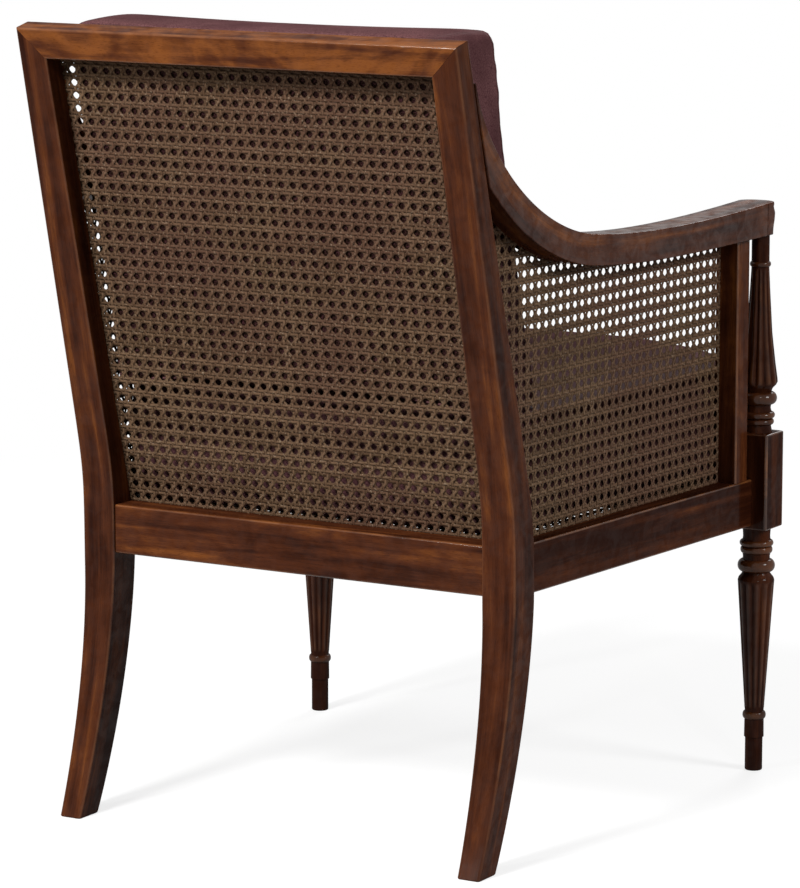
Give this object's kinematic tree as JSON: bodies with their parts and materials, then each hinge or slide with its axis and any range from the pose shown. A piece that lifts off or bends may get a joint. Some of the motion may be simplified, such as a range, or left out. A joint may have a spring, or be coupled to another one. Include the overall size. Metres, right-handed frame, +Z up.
{
  "type": "caned armchair",
  "caption": "Open-framed wooden armchair with raked caned back, caned sides, swept arms on turned reeded posts, sabre rear legs and loose boxed leather cushions.",
  "frame": {"origin": "centre of the chair's footprint box, on the floor under its feet", "axes": "+Z up, -Y the way the sitter faces, +X the sitter's left"},
  "size_m": [0.6534, 0.6872, 0.9114],
  "materials": {
    "mahogany": "polished",
    "secondary_timber": "bare",
    "cane": "stained, woven",
    "leather": "satin"
  },
  "bodies": {
    "root": {"rear_leg_left": "mahogany", "rear_leg_right": "mahogany", "crest_rail": "mahogany", "mitre_tongue_left": "secondary_timber", "mitre_tongue_right": "secondary_timber", "rear_seat_rail": "mahogany", "front_seat_rail": "mahogany", "side_seat_rail_left": "mahogany", "side_seat_rail_right": "mahogany", "front_leg_left": "mahogany", "front_leg_right": "mahogany", "arm_left": "mahogany", "arm_right": "mahogany", "arm_dowel_left": "secondary_timber", "arm_dowel_right": "secondary_timber", "side_stile_left": "mahogany", "side_stile_right": "mahogany", "back_cane": "cane", "side_cane_left": "cane", "side_cane_right": "cane", "seat_cane": "cane", "corner_block_front_left": "secondary_timber", "corner_block_front_right": "secondary_timber", "corner_block_rear_left": "secondary_timber", "corner_block_rear_right": "secondary_timber", "seat_cushion": "leather", "back_cushion": "leather"}
  },
  "joints": []
}
